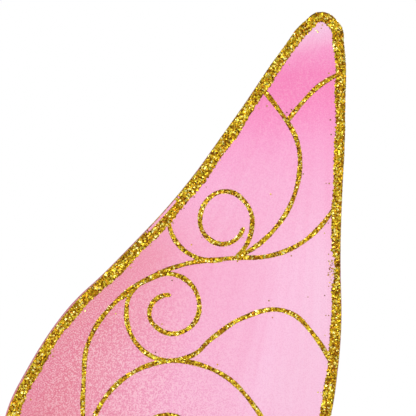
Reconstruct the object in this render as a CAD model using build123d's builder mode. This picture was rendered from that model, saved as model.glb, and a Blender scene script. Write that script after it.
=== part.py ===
"""Child's fairy wings: four wire-hoop wings in nylon sleeves, a padded centre panel and two arm loops.

Lengths are in millimetres and the frame is +Z up. The wings lie in a plane parallel to XZ, their glitter
faces -Y, and the wearer's back is on the +Y side. The origin is the centre of the flat rear face of the
centre panel. Each wing is drawn flat, as the wearer's right-hand one, and mirrored for the left.
"""
import os

from build123d import *

# Driving dimensions
wire_radius = 1.0
wire_clearance = 0.05
knit_thickness = 0.4
sleeve_half_thickness = 1.25
glue_gap = 0.05
glitter_thickness = 0.45
glitter_edge_width = 5.6
band_start_angle = 140.0
scroll_width = 2.7

panel_width = 60.0
panel_height = 104.0
panel_corner = 10.0
layer_gap = 0.05
back_cover_thickness = 2.0
core_board_thickness = 1.3
front_cover_depth = 8.9
cover_wall = 2.6
cover_face_thickness = 1.85
cover_edge_round = 1.4

wing_plane_depth = 5.2
hinge_x = 35.0
tail_spacing = 3.2
tail_height = 18.8
tail_end_x = 33.6
sleeve_start_x = 41.5
neck_cut = (50.0, 30.0, 200.0)
gather_start_x = 36.8
gather_centre = 19.8
gather_height = 10.4
gather_depth = 5.2
tie_start_x = 38.2
tie_width = 1.6
tie_thickness = 0.65

splice_length = 24.0
splice_wall = 0.45
tape_width = 30.0
tape_height = 62.0
tape_thickness = 0.25

strap_x = 16.0
strap_width = 10.0
strap_thickness = 1.2
strap_depth = 4.35
strap_gap = 0.4
strap_tab_length = 13.0
strap_bend = 30.0

stitch_length = 2.6
stitch_pitch = 4.0
stitch_inset = 3.2
stitch_radius = 0.35
tack_length = 7.0
tack_pitch = 1.0
tack_rows = 5
tack_height = 43.0
slot_clearance = 0.4
board_margin = 0.4

label_width = 14.0
label_thickness = 0.3
label_tucked = 2.4
label_hanging = 18.0

channel_radius = wire_radius + wire_clearance
rim_radius = channel_radius + knit_thickness
glitter_back = sleeve_half_thickness + glue_gap
glitter_front = glitter_back + glitter_thickness
glitter_rim = rim_radius + glue_gap
glitter_front_radius = glitter_rim + glitter_thickness
upper_tail = tail_height + tail_spacing / 2
lower_tail = tail_height - tail_spacing / 2

core_depth = back_cover_thickness + layer_gap
pocket_width = panel_width - 2 * cover_wall
pocket_height = panel_height - 2 * cover_wall
pocket_corner = panel_corner - cover_wall
seam_width = panel_width - 2 * stitch_inset
seam_height = panel_height - 2 * stitch_inset
stitch_depth = front_cover_depth + layer_gap + stitch_radius

wing_plane = Plane.XZ.offset(wing_plane_depth)

# Each wing's wire, as points (x, z) clockwise from its upper tail to its lower tail
upper_outline = [
    (hinge_x, upper_tail),
    (44, 27),
    (46, 42),
    (45.2, 90),
    (49.5, 122.4),
    (65.3, 155),
    (85, 184),
    (113.8, 212.6),
    (154.1, 255.9),
    (186, 299.2),
    (215.9, 342.3),
    (227.5, 357.3),
    (237.2, 363.6),
    (247.8, 357),
    (250.2, 343),
    (250.7, 300),
    (248.3, 235),
    (247, 155),
    (242.2, 122.4),
    (221, 66),
    (168, 27),
    (100, 11.5),
    (60, 13.5),
    (hinge_x, lower_tail),
]
lower_outline = [
    (hinge_x, -lower_tail),
    (62, -14),
    (112, -22),
    (160, -52),
    (187, -104),
    (186, -150),
    (160, -187),
    (122, -192),
    (84, -166),
    (58, -122),
    (46, -72),
    (44.5, -38),
    (42, -24),
    (hinge_x, -upper_tail),
]

# The arcs of each wing's wire that carry the glitter band; there are two arcs from each point to the next
upper_band = slice(4, -2)
lower_band = slice(2, -4)

# Each arm loop's line in its own upright plane, as points (y, z)
loop_top = panel_height / 2 + strap_gap
loop_route = [
    (-strap_depth, loop_top),
    (-strap_depth, 92),
    (64, 84),
    (72, -74),
    (-strap_depth, -100),
    (-strap_depth, -loop_top),
]

# The glitter scrolls of each wing, as open lines of points (x, z)
upper_scrolls = {
    "crown": [(198, 323), (211, 308), (223.6, 286), (222, 256), (205, 229.5), (185.5, 216.8)],
    "tip_branch": [(217.6, 299.4), (226, 310), (236.4, 320.4), (252, 329)],
    "high_curl": [(186.5, 217.6), (195, 230), (194, 248), (180, 257.2), (166, 246), (168, 231),
                  (180, 225.6), (191, 235.6)],
    "rail": [(252, 262), (242, 242), (221, 223.4), (203.5, 217.9), (187.4, 217.3), (149, 211.4), (119, 195),
             (98.6, 168), (94.8, 136), (94.6, 108), (88, 76), (72, 48), (58, 26)],
    "hook": [(146.5, 245), (148.4, 231), (159, 219.4), (170, 215.8), (180, 216.7)],
    "low_curl": [(118, 192.6), (133, 203.8), (149, 207.4), (163, 196), (160, 176.5), (144, 172.6),
                 (134.6, 185), (147.6, 194.8)],
    "wave": [(131, 203.2), (123, 195), (120.8, 185), (122.6, 173.5), (140, 156.6), (160, 158.6),
             (173, 169.6), (189, 180.4), (215, 185.6), (237, 166), (246, 147)],
    "volute": [(214, 52), (216, 84), (201.6, 122.4), (176, 148.6), (145, 155.2), (117, 143), (100, 117),
               (99, 88), (117, 62), (146, 58), (166, 78), (164, 108), (145.8, 123), (128, 112), (129, 94),
               (144, 88)],
}
lower_scrolls = {
    "rail": [(60, -26), (92, -48), (124, -78), (140, -118), (128, -152), (104, -186)],
    "outer_wave": [(121, -73), (144, -72), (164, -86), (188, -84)],
    "outer_curl": [(139, -108), (156, -104), (172, -116), (170, -136), (154, -142), (146, -130),
                   (156, -122)],
    "inner_curl": [(112, -66), (88, -72), (76, -92), (86, -112), (106, -108), (108, -92), (96, -90)],
    "low_wave": [(133.6, -144), (150, -156), (164, -164), (178, -174)],
}


def headings(points, first=None, last=None):
    """The direction of travel at each point, from the circle through it and its two neighbours."""
    steps = [b - a for a, b in zip(points, points[1:])]
    inner = [(a / a.length**2 + b / b.length**2).normalized() for a, b in zip(steps, steps[1:])]
    first = first or other_end(inner[0], steps[0])
    last = last or other_end(inner[-1], steps[-1])
    return [first] + inner + [last]


def other_end(heading, chord):
    """The direction at one end of an arc, from its direction at the other end."""
    along = chord.normalized()
    return along * (2 * along.dot(heading)) - heading


def tangent_arc(start, end, heading):
    """An arc that leaves its start in a given direction, drawn through its middle point."""
    chord = end - start
    along = chord.normalized()
    lean = along.dot(heading)
    middle = (start + end) / 2 + (heading - along * lean) * (chord.length / 2 / (1 + lean))
    ThreePointArc(start, middle, end)


def flowing_line(outline, first=None, last=None):
    """A smooth line through the points, in two tangent arcs from each point to the next."""
    points = [Vector(*point) for point in outline]
    ways = headings(points, first, last)
    for start, end, leaving, arriving in zip(points, points[1:], ways, ways[1:]):
        chord = end - start
        pull = chord.dot(leaving + arriving)
        bend = 2 * (1 - leaving.dot(arriving))
        reach = chord.dot(chord) / (pull + (pull**2 + bend * chord.dot(chord)) ** 0.5)
        meeting = (start + end + (leaving - arriving) * reach) / 2
        tangent_arc(start, meeting, leaving)
        tangent_arc(meeting, end, other_end(leaving, meeting - start))


def hoop_line(outline):
    """A wing's wire, which leaves the hinge line and comes back to it square."""
    flowing_line(outline, Vector(1, 0), Vector(-1, 0))


def save(name, piece):
    """Label a finished piece and write its file."""
    piece.label = name
    export_step(piece, f"parts/{name}.step")
    print(name, len(piece.solids()), round(piece.volume, 1), piece.is_valid)


def save_pair(wing, name, piece):
    """Write a right-hand piece and its left-hand mirror image."""
    save(f"{wing}_right_{name}", piece)
    with BuildPart() as left_piece:
        mirror(piece, about=Plane.YZ)
    save(f"{wing}_left_{name}", left_piece.part)


def wing_tube(hoop, radius):
    """A round bar along a wing's wire, added to the part being built."""
    with BuildSketch(Plane(origin=hoop @ 0, z_dir=hoop % 0)) as section:
        Circle(radius)
    sweep(section.sketch, path=hoop)


def wing_leaf(outline, half_thickness):
    """A flat slab that fills a wing's wire, added to the part being built."""
    with BuildSketch(wing_plane) as leaf:
        with BuildLine() as edge:
            hoop_line(outline)
            Line(outline[-1], outline[0])
        make_face(edge.line)
    extrude(leaf.sketch, amount=half_thickness, both=True)


def root_side():
    """Cut away everything between the panel and the start of the sleeve."""
    with Locations((sleeve_start_x, -wing_plane_depth, 0)):
        Box(*neck_cut, align=(Align.MAX, Align.CENTER, Align.CENTER), mode=Mode.SUBTRACT)


os.makedirs("parts", exist_ok=True)

for wing, outline, scrolls, side, band in (
    ("upper", upper_outline, upper_scrolls, 1, upper_band),
    ("lower", lower_outline, lower_scrolls, -1, lower_band),
):
    with BuildLine() as hoop:
        hoop_line(outline)
    hoop_wire = Wire((wing_plane * hoop.line).edges())

    # Spring-steel wire, rounded over the hinge line at both tails
    with BuildPart() as wing_wire:
        wing_tube(hoop_wire, wire_radius)
        with Locations(wing_plane):
            with Locations(outline[0], outline[-1]):
                Sphere(wire_radius)
    save_pair(wing, "wire", wing_wire.part)

    # Nylon sleeve: a front and a back layer, and a round rim over the wire
    with BuildPart() as sleeve_space:
        wing_tube(hoop_wire, channel_radius)
        wing_leaf(outline, sleeve_half_thickness - knit_thickness)
    with BuildPart() as sleeve:
        wing_tube(hoop_wire, rim_radius)
        wing_leaf(outline, sleeve_half_thickness)
        add(sleeve_space.part, mode=Mode.SUBTRACT)
        root_side()
    save_pair(wing, "sleeve", sleeve.part)

    # Sleeve end, gathered round both wires, and the thread that ties it
    with BuildPart() as gather:
        with BuildSketch(Plane.YZ.offset(gather_start_x)):
            with Locations((-wing_plane_depth, side * gather_centre)):
                Ellipse(gather_depth / 2, gather_height / 2)
        extrude(amount=sleeve_start_x - gather_start_x - 2 * layer_gap)
        add(sleeve_space.part, mode=Mode.SUBTRACT)
    save_pair(wing, "gather", gather.part)

    with BuildPart() as neck_tie:
        with BuildSketch(Plane.YZ.offset(tie_start_x)):
            with Locations((-wing_plane_depth, side * gather_centre)):
                Ellipse(gather_depth / 2 + tie_thickness, gather_height / 2 + tie_thickness)
                Ellipse(gather_depth / 2 + layer_gap, gather_height / 2 + layer_gap, mode=Mode.SUBTRACT)
        extrude(amount=tie_width)
    save_pair(wing, "neck_tie", neck_tie.part)

    # Glitter band on the front of the rim, and a strip of the sleeve inside it
    band_wire = Wire((wing_plane * Curve(hoop.edges()[band])).edges())
    inward = (band_wire % 0).cross(wing_plane.z_dir)
    with BuildPart() as glitter_edge:
        with BuildSketch(Plane(origin=band_wire @ 0, x_dir=inward, z_dir=-(band_wire % 0))):
            with BuildLine():
                outer_start = Vector(glitter_front_radius, 0).rotate(Axis.Z, band_start_angle)
                inner_start = Vector(glitter_rim, 0).rotate(Axis.Z, band_start_angle)
                outer_end = ((glitter_front_radius**2 - glitter_front**2) ** 0.5, glitter_front)
                inner_end = ((glitter_rim**2 - glitter_back**2) ** 0.5, glitter_back)
                ThreePointArc(outer_start, (0, glitter_front_radius), outer_end)
                Line(outer_end, (glitter_edge_width, glitter_front))
                Line((glitter_edge_width, glitter_front), (glitter_edge_width, glitter_back))
                Line((glitter_edge_width, glitter_back), inner_end)
                ThreePointArc(inner_end, (0, glitter_rim), inner_start)
                Line(inner_start, outer_start)
            make_face()
        sweep(path=band_wire)
    save_pair(wing, "glitter_edge", glitter_edge.part)

    # Glitter scrolls on the front layer, which stop at the band
    with BuildPart() as glitter_scrolls:
        with BuildSketch(wing_plane.offset(glitter_back)):
            for points in scrolls.values():
                with BuildLine() as stroke:
                    flowing_line(points)
                trace(stroke.line, scroll_width)
            trace(hoop.edges()[band], 2 * (glitter_edge_width + layer_gap), mode=Mode.SUBTRACT)
        extrude(amount=glitter_thickness)
    save_pair(wing, "glitter_scrolls", glitter_scrolls.part)

    # Wire tails in the panel, and the crimped splice that joins left and right
    with BuildPart() as tails:
        with BuildSketch(Plane.YZ.offset(layer_gap)):
            with Locations((-wing_plane_depth, side * upper_tail), (-wing_plane_depth, side * lower_tail)):
                Circle(wire_radius)
        extrude(amount=tail_end_x - layer_gap)
    save_pair(wing, "wire_tails", tails.part)

    with BuildPart() as splice:
        with BuildSketch(Plane.YZ.offset(-splice_length / 2)):
            with Locations((-wing_plane_depth, side * tail_height)):
                SlotCenterToCenter(tail_spacing, 2 * (channel_radius + splice_wall), rotation=90)
            with Locations((-wing_plane_depth, side * upper_tail), (-wing_plane_depth, side * lower_tail)):
                Circle(channel_radius, mode=Mode.SUBTRACT)
        extrude(amount=splice_length)
    save(f"{wing}_splice", splice.part)

# Back cover, whose flat rear face rests on the wearer's back
with BuildPart() as back_cover:
    with BuildSketch(Plane.XZ):
        RectangleRounded(panel_width, panel_height, panel_corner)
    extrude(amount=back_cover_thickness)
save("back_cover", back_cover.part)

# Stiff core board
with BuildPart() as core_board:
    with BuildSketch(Plane.XZ.offset(core_depth)):
        RectangleRounded(pocket_width - 2 * board_margin, pocket_height - 2 * board_margin, pocket_corner)
    extrude(amount=core_board_thickness)
save("core_board", core_board.part)

# Tape that holds the splices to the board
with BuildPart() as binding_tape:
    with BuildSketch(Plane.XZ.offset(front_cover_depth - cover_face_thickness - layer_gap)):
        Rectangle(tape_width, tape_height)
    extrude(amount=-tape_thickness)
save("binding_tape", binding_tape.part)

# Front cover: a shallow padded tray with ways out for the wires, the straps and the label
with BuildPart() as front_cover:
    with BuildSketch(Plane.XZ.offset(core_depth)):
        RectangleRounded(panel_width, panel_height, panel_corner)
    extrude(amount=front_cover_depth - core_depth)
    fillet(front_cover.faces().sort_by(Axis.Y)[0].edges(), cover_edge_round)
    with BuildSketch(Plane.XZ.offset(core_depth)):
        RectangleRounded(pocket_width, pocket_height, pocket_corner)
    extrude(amount=front_cover_depth - cover_face_thickness - core_depth, mode=Mode.SUBTRACT)
    with BuildSketch(Plane.YZ):
        for height in (upper_tail, lower_tail):
            with Locations((-wing_plane_depth, height), (-wing_plane_depth, -height)):
                Circle(channel_radius)
    extrude(amount=panel_width, both=True, mode=Mode.SUBTRACT)
    with BuildSketch(Plane.XY):
        with Locations((strap_x, -strap_depth), (-strap_x, -strap_depth)):
            Rectangle(strap_width + slot_clearance, strap_thickness + slot_clearance)
    extrude(amount=panel_height, both=True, mode=Mode.SUBTRACT)
    with BuildSketch(Plane.XY.offset(-panel_height / 2)):
        with Locations((0, -core_depth - label_thickness / 2)):
            Rectangle(label_width + slot_clearance, label_thickness + slot_clearance)
    extrude(amount=cover_wall, mode=Mode.SUBTRACT)
save("front_cover", front_cover.part)

# Row of stitches round the front cover
with BuildPart() as cover_stitches:
    with BuildSketch(Plane.XZ.offset(stitch_depth), mode=Mode.PRIVATE) as seam:
        RectangleRounded(seam_width, seam_height, panel_corner - stitch_inset)
    seam_line = seam.sketch.wire()
    stitch_count = round(seam_line.length / stitch_pitch)
    with Locations(*seam_line.locations([index / stitch_count for index in range(stitch_count)])):
        Cylinder(stitch_radius, stitch_length)
save("cover_stitches", cover_stitches.part)

# Bar tacks through the cover and the ends of the arm loops
with BuildPart() as bar_tacks:
    with Locations(Plane.XZ.offset(stitch_depth)):
        with GridLocations(2 * strap_x, 2 * tack_height, 2, 2):
            with GridLocations(1, tack_pitch, 1, tack_rows):
                Cylinder(stitch_radius, tack_length, rotation=(0, 90, 0))
save("bar_tacks", bar_tacks.part)

# Blank satin care label, tucked into the bottom seam
with BuildPart() as care_label:
    with BuildSketch(Plane.XZ.offset(core_depth)):
        with Locations((0, label_tucked - panel_height / 2)):
            Rectangle(label_width, label_tucked + label_hanging, align=(Align.CENTER, Align.MAX))
    extrude(amount=label_thickness)
save("care_label", care_label.part)

# Arm loops of flat elastic, and the ends that are sewn into the panel
for name, x in (("right", strap_x), ("left", -strap_x)):
    with BuildPart() as arm_loop:
        with BuildSketch(Plane.YZ.offset(x)):
            with BuildLine() as route:
                FilletPolyline(*loop_route, radius=strap_bend)
            trace(route.line, strap_thickness)
        extrude(amount=strap_width / 2, both=True)
    save(f"{name}_arm_loop", arm_loop.part)

    with BuildPart() as loop_ends:
        for end in (1, -1):
            with Locations((x, -strap_depth, end * (panel_height - strap_tab_length) / 2)):
                Box(strap_width, strap_thickness, strap_tab_length)
    save(f"{name}_loop_ends", loop_ends.part)
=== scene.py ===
"""Looks for the fairy wings: nylon, gold glitter, gathered necks, padded panel and elastic loops."""
import random
from math import atan2, copysign, cos, exp, hypot, pi, radians, sin, sqrt, tan

import bmesh
import bpy
import numpy as np
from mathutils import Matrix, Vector


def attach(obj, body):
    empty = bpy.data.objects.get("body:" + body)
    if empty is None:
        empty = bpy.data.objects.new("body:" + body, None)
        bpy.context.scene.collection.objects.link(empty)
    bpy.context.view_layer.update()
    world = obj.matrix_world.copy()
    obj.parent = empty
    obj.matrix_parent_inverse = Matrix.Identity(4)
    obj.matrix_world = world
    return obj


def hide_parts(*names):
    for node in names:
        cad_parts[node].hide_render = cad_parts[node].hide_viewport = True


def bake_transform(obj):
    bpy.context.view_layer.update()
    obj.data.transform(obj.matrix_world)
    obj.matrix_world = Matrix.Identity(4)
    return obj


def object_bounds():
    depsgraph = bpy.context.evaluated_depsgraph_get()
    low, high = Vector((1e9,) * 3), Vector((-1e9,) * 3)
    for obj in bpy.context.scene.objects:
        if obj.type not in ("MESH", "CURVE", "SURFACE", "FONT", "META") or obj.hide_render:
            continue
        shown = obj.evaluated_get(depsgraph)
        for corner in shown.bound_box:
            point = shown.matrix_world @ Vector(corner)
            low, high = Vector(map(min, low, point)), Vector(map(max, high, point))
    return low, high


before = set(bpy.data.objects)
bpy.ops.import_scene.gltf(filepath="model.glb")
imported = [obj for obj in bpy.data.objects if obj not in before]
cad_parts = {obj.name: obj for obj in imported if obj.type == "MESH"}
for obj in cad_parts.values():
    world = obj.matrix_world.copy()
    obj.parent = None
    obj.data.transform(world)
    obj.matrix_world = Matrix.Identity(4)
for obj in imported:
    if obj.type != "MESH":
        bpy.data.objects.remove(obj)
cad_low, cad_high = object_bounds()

MM = 0.001

# ---- sizes, in millimetres

WING_Y = -5.2
HINGE_X = 35.0
TAIL_Z = (20.4, 17.2)
RIM_RADIUS = 1.45
SLEEVE_HALF = 1.25
NECK_START_X = 30.2
LIGHT_LEVEL = 1.18
GLITTER_BAND = 5.6
GLITTER_STEP = 0.75
SCROLL_WIDTH = 2.7
ROOT_HEIGHT = 18.8
SIDES = ((1, "right"), (-1, "left"))

UPPER_OUTLINE = [
    (HINGE_X, TAIL_Z[0]), (44, 27), (46, 42), (45.2, 90), (49.5, 122.4), (65.3, 155), (85, 184),
    (113.8, 212.6), (154.1, 255.9), (186, 299.2), (215.9, 342.3), (227.5, 357.3), (237.2, 363.6),
    (247.8, 357), (250.2, 343), (250.7, 300), (248.3, 235), (247, 155), (242.2, 122.4), (221, 66), (168, 27),
    (100, 11.5), (60, 13.5), (HINGE_X, TAIL_Z[1]),
]
LOWER_OUTLINE = [
    (HINGE_X, -TAIL_Z[1]), (62, -14), (112, -22), (160, -52), (187, -104), (186, -150), (160, -187),
    (122, -192), (84, -166), (58, -122), (46, -72), (44.5, -38), (42, -24), (HINGE_X, -TAIL_Z[0]),
]
UPPER_SCROLLS = {
    "crown": [(198, 323), (211, 308), (223.6, 286), (222, 256), (205, 229.5), (185.5, 216.8)],
    "tip_branch": [(217.6, 299.4), (226, 310), (236.4, 320.4), (252, 329)],
    "high_curl": [(186.5, 217.6), (195, 230), (194, 248), (180, 257.2), (166, 246), (168, 231), (180, 225.6),
                  (191, 235.6)],
    "rail": [(252, 262), (242, 242), (221, 223.4), (203.5, 217.9), (187.4, 217.3), (149, 211.4), (119, 195),
             (98.6, 168), (94.8, 136), (94.6, 108), (88, 76), (72, 48), (58, 26)],
    "hook": [(146.5, 245), (148.4, 231), (159, 219.4), (170, 215.8), (180, 216.7)],
    "low_curl": [(118, 192.6), (133, 203.8), (149, 207.4), (163, 196), (160, 176.5), (144, 172.6),
                 (134.6, 185), (147.6, 194.8)],
    "wave": [(131, 203.2), (123, 195), (120.8, 185), (122.6, 173.5), (140, 156.6), (160, 158.6),
             (173, 169.6), (189, 180.4), (215, 185.6), (237, 166), (246, 147)],
    "volute": [(214, 52), (216, 84), (201.6, 122.4), (176, 148.6), (145, 155.2), (117, 143), (100, 117),
               (99, 88), (117, 62), (146, 58), (166, 78), (164, 108), (145.8, 123), (128, 112), (129, 94),
               (144, 88)],
}
LOWER_SCROLLS = {
    "rail": [(60, -26), (92, -48), (124, -78), (140, -118), (128, -152), (104, -186)],
    "outer_wave": [(121, -73), (144, -72), (164, -86), (188, -84)],
    "outer_curl": [(139, -108), (156, -104), (172, -116), (170, -136), (154, -142), (146, -130), (156, -122)],
    "inner_curl": [(112, -66), (88, -72), (76, -92), (86, -112), (106, -108), (108, -92), (96, -90)],
    "low_wave": [(133.6, -144), (150, -156), (164, -164), (178, -174)],
}
WINGS = {
    "upper": {"outline": UPPER_OUTLINE, "scrolls": UPPER_SCROLLS, "tip": 12, "band": (2, 22), "height": 1},
    "lower": {"outline": LOWER_OUTLINE, "scrolls": LOWER_SCROLLS, "tip": 7, "band": (1, 11), "height": -1},
}

# ---- flowing lines


def other_end(heading, chord):
    """The direction at one end of an arc, from its direction at the other end."""
    along = chord.normalized()
    return along * (2 * along.dot(heading)) - heading


def headings(points, first=None, last=None):
    """The direction of travel at each point, from the circle through it and its two neighbours."""
    steps = [b - a for a, b in zip(points, points[1:])]
    inner = [
        (a / a.length_squared + b / b.length_squared).normalized() for a, b in zip(steps, steps[1:])
    ]
    first = first or other_end(inner[0], steps[0])
    last = last or other_end(inner[-1], steps[-1])
    return [first] + inner + [last]


def arc_stations(start, end, heading, step):
    """Points and directions along an arc, without its last point."""
    chord = end - start
    way = atan2(heading.y, heading.x)
    half_turn = (atan2(chord.y, chord.x) - way + pi) % (2 * pi) - pi
    stretch = half_turn / sin(half_turn) if abs(half_turn) > 1e-6 else 1.0
    count = max(1, round(chord.length * stretch / step))
    for index in range(count):
        t = index / count
        reach = sin(half_turn * t) / sin(half_turn) if abs(half_turn) > 1e-6 else t
        angle = way + half_turn * t
        here = start + Vector((cos(angle), sin(angle))) * (chord.length * reach)
        turned = way + 2 * half_turn * t
        yield here, Vector((cos(turned), sin(turned)))


def flowing_line(outline, step, first=None, last=None, span=None):
    """Points and directions along a smooth line, in two tangent arcs from each point to the next."""
    points = [Vector(point) for point in outline]
    ways = headings(points, first, last)
    low, high = span or (0, len(points) - 1)
    stations = []
    for index in range(low, high):
        start, end, leaving, arriving = points[index], points[index + 1], ways[index], ways[index + 1]
        chord = end - start
        pull = chord.dot(leaving + arriving)
        bend = 2 * (1 - leaving.dot(arriving))
        reach = chord.dot(chord) / (pull + sqrt(pull**2 + bend * chord.dot(chord)))
        meeting = (start + end + (leaving - arriving) * reach) / 2
        stations += arc_stations(start, meeting, leaving, step)
        stations += arc_stations(meeting, end, other_end(leaving, meeting - start), step)
    return stations + [(points[high], ways[high])]


def hoop_stations(wing, step, span=None):
    """The wing's wire, which leaves the hinge line and comes back to it square."""
    return flowing_line(WINGS[wing]["outline"], step, Vector((1, 0)), Vector((-1, 0)), span)


def distances(track):
    """How far along a line each of its points is."""
    return np.concatenate([[0], np.cumsum(np.linalg.norm(np.diff(track, axis=0), axis=1))])


def read_off(wanted, along, track):
    """A line's two coordinates at the wanted distances along it."""
    return np.stack([np.interp(wanted, along, track[:, axis]) for axis in (0, 1)], axis=1)


def resampled(stations, count):
    """The same line with its points evenly spaced."""
    places = np.array([tuple(place) for place, _ in stations])
    ways = np.array([tuple(way) for _, way in stations])
    along = distances(places)
    wanted = np.linspace(0, along[-1], count)
    places, ways = read_off(wanted, along, places), read_off(wanted, along, ways)
    return places, ways / np.linalg.norm(ways, axis=1, keepdims=True)


# ---- mesh and object helpers


def in_scene(name, data):
    """A new object that is in the scene."""
    thing = bpy.data.objects.new(name, data)
    bpy.context.scene.collection.objects.link(thing)
    return thing


def new_object(name, vertices, faces, material, smooth=True):
    """A mesh object from points in millimetres, welded, with its faces turned outwards."""
    mesh = bpy.data.meshes.new(name)
    mesh.from_pydata([tuple(co * MM for co in vertex) for vertex in vertices], [], faces)
    build = bmesh.new()
    build.from_mesh(mesh)
    bmesh.ops.remove_doubles(build, verts=build.verts, dist=1e-7)
    bmesh.ops.dissolve_degenerate(build, edges=build.edges, dist=1e-7)
    bmesh.ops.recalc_face_normals(build, faces=build.faces)
    for face in build.faces:
        face.smooth = smooth
        if len(face.verts) > 4:
            for edge in face.edges:
                edge.smooth = False
    build.to_mesh(mesh)
    build.free()
    mesh.materials.append(material)
    return in_scene(name, mesh)


def loop_faces(rows, size, closed_ends=True):
    """Faces between successive closed loops of the same size, with end caps."""
    faces = []
    for row in range(rows - 1):
        for index in range(size):
            a, b = row * size + index, row * size + (index + 1) % size
            faces.append((a, b, b + size, a + size))
    if closed_ends:
        faces.append(tuple(range(size))[::-1])
        faces.append(tuple(range((rows - 1) * size, rows * size)))
    return faces


def shifted(faces, start):
    """Faces for points that begin at a later place in the list."""
    return [tuple(start + corner for corner in face) for face in faces]


def mirrored(side, points):
    """Points for one side: side is 1 for the wearer's right and -1 for the left."""
    return [(side * x, y, z) for x, y, z in points]


# ---- materials


class Nodes:
    """A node tree being built, with short names for the nodes that several materials use."""

    def __init__(self, name):
        self.material = bpy.data.materials.new(name)
        self.material.use_nodes = True
        self.tree = self.material.node_tree
        self.shader = self.tree.nodes["Principled BSDF"]

    def add(self, kind, **settings):
        node = self.tree.nodes.new("ShaderNode" + kind)
        for key, value in settings.items():
            setattr(node, key, value)
        return node

    def link(self, source, target):
        self.tree.links.new(source, target)
        return target

    def put(self, socket, value):
        if isinstance(value, bpy.types.NodeSocket):
            self.link(value, socket)
        else:
            socket.default_value = value

    def fill(self, node, *values):
        for socket, value in zip(node.inputs, values):
            self.put(socket, value)
        return node

    def math(self, operation, *values):
        return self.fill(self.add("Math", operation=operation), *values).outputs[0]

    def times(self, first, second):
        return self.math("MULTIPLY", first, second)

    def vector_math(self, operation, *values):
        node = self.fill(self.add("VectorMath", operation=operation), *values)
        return node.outputs["Value" if operation in ("DISTANCE", "LENGTH", "DOT_PRODUCT") else "Vector"]

    def mix(self, amount, first, second, blend="MIX"):
        node = self.add("Mix", data_type="RGBA", blend_type=blend)
        self.put(node.inputs["Factor"], amount)
        self.put(node.inputs["A"], first)
        self.put(node.inputs["B"], second)
        return node.outputs["Result"]

    def ramp(self, value, low, high, to_low=0.0, to_high=1.0):
        node = self.add("MapRange", interpolation_type="SMOOTHSTEP")
        return self.fill(node, value, low, high, to_low, to_high).outputs["Result"]

    def noise(self, vector, scale, detail=2.0, roughness=0.5):
        node = self.add("TexNoise")
        self.put(node.inputs["Vector"], vector)
        node.inputs["Scale"].default_value = scale
        node.inputs["Detail"].default_value = detail
        node.inputs["Roughness"].default_value = roughness
        return node.outputs["Fac"]

    def wave(self, vector, direction, scale, distortion):
        node = self.add("TexWave", wave_type="BANDS", bands_direction=direction)
        self.put(node.inputs["Vector"], vector)
        node.inputs["Scale"].default_value = scale
        node.inputs["Distortion"].default_value = distortion
        return node.outputs["Fac"]

    def place(self):
        """Object coordinates, which are the part's own metres."""
        return self.add("TexCoord").outputs["Object"]

    def bump(self, height, strength, distance):
        node = self.add("Bump")
        node.inputs["Strength"].default_value = strength
        node.inputs["Distance"].default_value = distance
        self.put(node.inputs["Height"], height)
        self.link(node.outputs["Normal"], self.shader.inputs["Normal"])

    def set(self, **sockets):
        for name, value in sockets.items():
            self.put(self.shader.inputs[name.replace("_", " ")], value)
        return self.material


def colour(red, green, blue):
    """Linear colour from sRGB display values of 0 to 255."""
    shares = (red / 255, green / 255, blue / 255)
    return tuple(((c + 0.055) / 1.055) ** 2.4 if c > 0.04 else c / 12.92 for c in shares) + (1.0,)


def ramp_node(n, value, low, high, paint, stops):
    """A colour ramp over a value. Each stop is a value, then the red, green and blue to paint there."""
    node = n.add("ValToRGB")
    scaled = n.fill(n.add("MapRange"), value, low, high, 0.0, 1.0)
    places = [((at - low) / (high - low), paint(*shade)) for at, *shade in stops]
    node.color_ramp.elements[0].position, node.color_ramp.elements[0].color = places[0]
    node.color_ramp.elements[1].position, node.color_ramp.elements[1].color = places[-1]
    for at, shade in places[1:-1]:
        node.color_ramp.elements.new(at).color = shade
    n.link(scaled.outputs["Result"], node.inputs["Fac"])
    return node.outputs["Color"]


def cloth_colour(red, green, blue):
    """The cloth's own colour, from how it looks in the studio light."""
    return tuple(c / LIGHT_LEVEL for c in colour(red, green, blue)[:3]) + (1.0,)


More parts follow.
